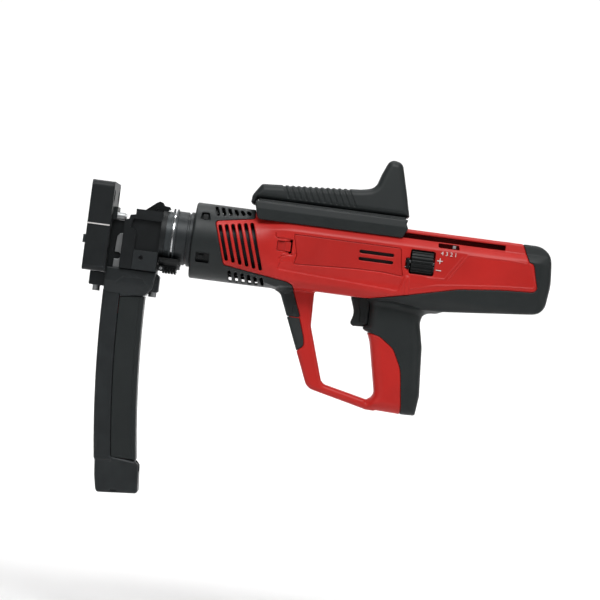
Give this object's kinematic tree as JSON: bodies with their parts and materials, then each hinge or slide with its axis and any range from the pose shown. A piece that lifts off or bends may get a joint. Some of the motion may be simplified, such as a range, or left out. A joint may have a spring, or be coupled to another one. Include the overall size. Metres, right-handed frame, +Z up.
{
  "type": "powder-actuated nail gun",
  "caption": "Hand-held powder-actuated fastening tool with a curved nail magazine at the nose, a top charging handle, a trigger grip and a closed guard.",
  "frame": {"origin": "centre of the muzzle bore's mouth, on the stop block's flat front face", "axes": "+X runs back along the drive axis from the muzzle to the rear cap, +Z is up towards the charging handle, and -Y is the left side with the regulator wheel"},
  "size_m": [0.4549, 0.088, 0.3526],
  "materials": {
    "red_shell": "satin moulded red",
    "red_panel": "satin moulded red",
    "black_grip": "fine grained soft overmould",
    "black_shell": "fine grained moulded",
    "black_gloss": "smooth moulded",
    "black_pad": "matt",
    "nose_black": "black oxide, satin",
    "nose_grey": "grey oxide, satin",
    "steel": "turned and ground",
    "steel_dark": "machined, oiled",
    "zinc": "zinc plated",
    "bright": "bright plated",
    "spring_steel": "drawn wire",
    "bump_rubber": "dense elastomer",
    "signal_red": "moulded",
    "pointer_grey": "moulded"
  },
  "bodies": {
    "housing": {"housing_left": "red_shell", "housing_right": "red_shell", "grip_cover_left": "black_grip", "grip_cover_right": "black_grip", "front_sleeve": "black_shell", "sleeve_retainer": "black_gloss", "guard_strip": "black_shell", "guard_pad": "black_pad", "side_panel_left": "red_panel", "side_panel_right": "red_panel", "housing_screws": "zinc", "guide_cylinder": "steel_dark", "chamber_block": "steel_dark", "breech_block": "steel_dark", "firing_tube": "steel", "recoil_rod": "steel", "recoil_spring": "spring_steel", "recoil_buffer": "bump_rubber", "regulator_spindle": "steel", "firing_spring": "spring_steel", "trigger_spring": "spring_steel"},
    "nose": {"stop_block": "nose_black", "muzzle_bush": "steel", "nose_neck": "nose_black", "guide_plates": "zinc", "stop_bolts": "zinc", "magazine_head": "nose_black", "sight_wedge": "black_gloss", "head_lids": "nose_grey", "head_screws": "steel_dark", "lock_rings": "nose_grey", "chrome_ring": "bright", "guide_sleeve": "nose_grey", "barrel": "steel_dark", "piston_buffer": "bump_rubber", "magazine_case": "nose_grey", "magazine_collar": "nose_grey", "magazine_screws": "zinc", "door_hinge_pin": "steel", "latch_pin": "steel", "probe_spring": "spring_steel"},
    "probe": {"contact_probe": "nose_grey"},
    "door": {"magazine_door": "black_gloss"},
    "follower": {"nail_follower": "signal_red", "follower_spring": "spring_steel"},
    "latch": {"magazine_latch": "black_gloss"},
    "piston_unit": {"piston": "steel", "piston_rings": "steel_dark"},
    "trigger_unit": {"trigger": "black_gloss", "trigger_bar": "steel"},
    "sear_unit": {"sear": "steel_dark"},
    "firing_pin_unit": {"firing_pin": "steel"},
    "charging_handle": {"handle_rest": "black_grip", "handle_skirt": "black_shell", "cocking_carriage": "steel_dark"},
    "regulator": {"regulator_wheel": "black_gloss"},
    "pointer": {"regulator_pointer": "pointer_grey"},
    "regulator_catch": {"regulator_lock": "black_gloss"},
    "release_left": {"release_button_left": "red_panel"},
    "release_right": {"release_button_right": "red_panel"}
  },
  "joints": [
    {"name": "nose_press", "type": "slide", "parent": "housing", "child": "nose", "axis": [1, 0, 0], "range_m": [0, 0.007], "stiffness_N_per_m": 900, "springref_m": -0.004},
    {"name": "probe_press", "type": "slide", "parent": "nose", "child": "probe", "axis": [1, 0, 0], "range_m": [0, 0.005], "stiffness_N_per_m": 250, "springref_m": -0.002, "deforming": ["probe_spring"]},
    {"name": "magazine_door", "type": "hinge", "parent": "nose", "child": "door", "pos_m": [0.0725, 0, -0.226], "axis": [0, 1, 0], "range_deg": [0, 35]},
    {"name": "nail_follower", "type": "hinge", "parent": "nose", "child": "follower", "pos_m": [1.245, 0, -0.05], "axis": [0, -1, 0], "range_deg": [0, 6.3]},
    {"name": "magazine_latch", "type": "hinge", "parent": "nose", "child": "latch", "pos_m": [0.074, 0, -0.0314], "axis": [0, 1, 0], "range_deg": [0, 12], "stiffness_Nm_per_rad": 0.4, "springref_deg": -171.89},
    {"name": "piston_stroke", "type": "slide", "parent": "nose", "child": "piston_unit", "axis": [-1, 0, 0], "range_m": [0, 0.0605]},
    {"name": "trigger_pull", "type": "slide", "parent": "housing", "child": "trigger_unit", "axis": [1, 0, 0], "range_m": [0, 0.0055], "stiffness_N_per_m": 700, "springref_m": -0.003, "deforming": ["trigger_spring"]},
    {"name": "sear_drop", "type": "slide", "parent": "housing", "child": "sear_unit", "axis": [0, 0, -1], "range_m": [0, 0.003]},
    {"name": "firing_pin_cock", "type": "slide", "parent": "housing", "child": "firing_pin_unit", "axis": [1, 0, 0], "range_m": [0, 0.012], "stiffness_N_per_m": 600, "springref_m": -0.004, "deforming": ["firing_spring"]},
    {"name": "handle_pull", "type": "slide", "parent": "housing", "child": "charging_handle", "axis": [1, 0, 0], "range_m": [0, 0.088]},
    {"name": "regulator_turn", "type": "hinge", "parent": "housing", "child": "regulator", "pos_m": [0.32325, -0.0215, 0.0065], "axis": [1, 0, 0], "range_deg": [0, 270]},
    {"name": "pointer_move", "type": "slide", "parent": "housing", "child": "pointer", "axis": [-1, 0, 0], "range_m": [0, 0.011]},
    {"name": "regulator_catch", "type": "slide", "parent": "housing", "child": "regulator_catch", "axis": [0, 1, 0], "range_m": [0, 0.0015], "stiffness_N_per_m": 300},
    {"name": "release_left", "type": "slide", "parent": "housing", "child": "release_left", "axis": [0, 1, 0], "range_m": [0, 0.0025], "stiffness_N_per_m": 400},
    {"name": "release_right", "type": "slide", "parent": "housing", "child": "release_right", "axis": [0, -1, 0], "range_m": [0, 0.0025], "stiffness_N_per_m": 400}
  ],
  "couplings": [
    {"joint": "sear_drop", "follows": "trigger_pull", "ratio": 0.54546},
    {"joint": "pointer_move", "follows": "regulator_turn", "m_per_rad": 0.0023343}
  ]
}
